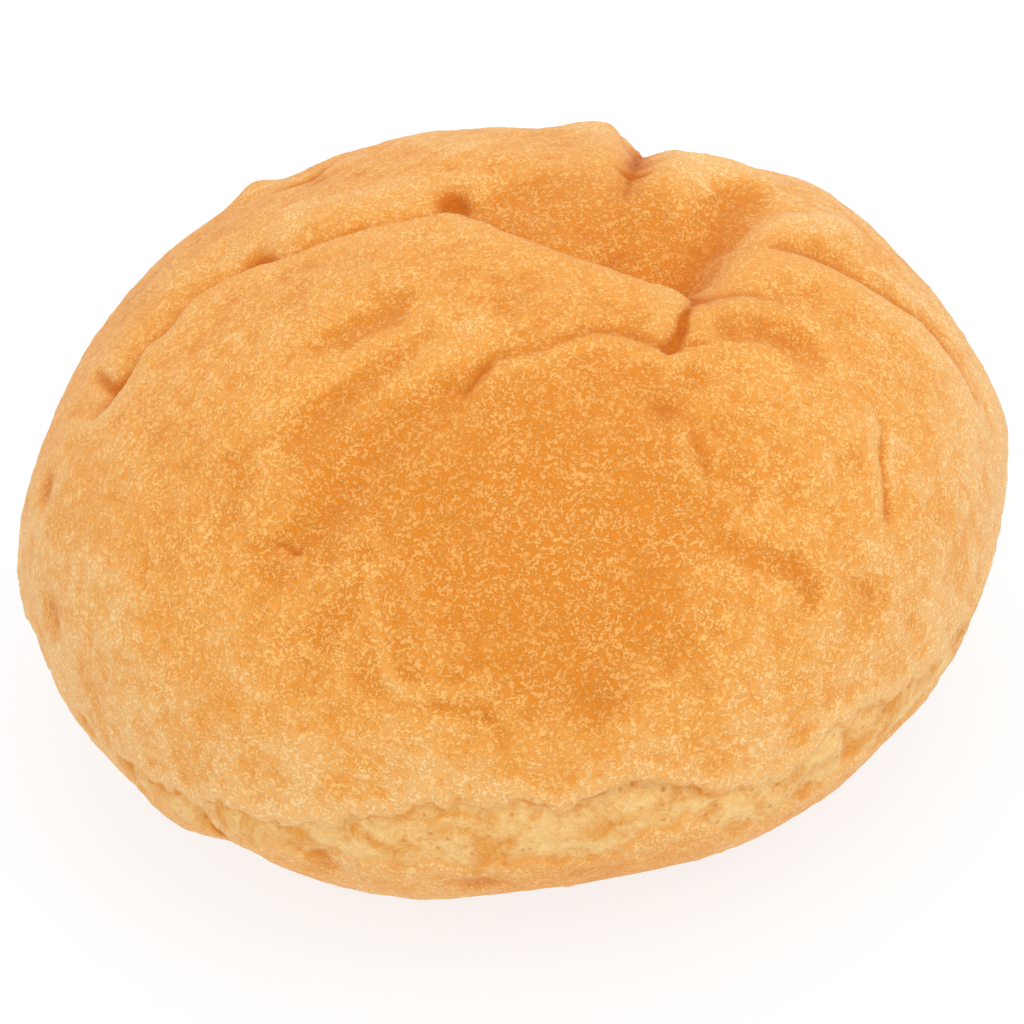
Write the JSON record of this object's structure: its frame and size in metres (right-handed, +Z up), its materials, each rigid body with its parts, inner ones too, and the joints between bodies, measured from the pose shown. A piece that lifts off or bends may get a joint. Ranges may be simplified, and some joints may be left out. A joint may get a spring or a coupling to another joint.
{
  "type": "bread roll",
  "caption": "Round, domed bread roll with a golden crust, a folded sunken top, a torn pale band and a flat spot to rest on.",
  "frame": {"origin": "bottom centre of the roll's box, on the flat spot that it rests on", "axes": "+Z up, -Y towards the roll's best side, +X to the right as seen from there, along the longest side of the box"},
  "size_m": [0.1148, 0.1118, 0.0663],
  "materials": {
    "crust": "dry matte golden crust with fine pale wrinkles, paler and torn above the underside"
  },
  "bodies": {
    "root": {"bread_roll": "crust"}
  },
  "joints": []
}
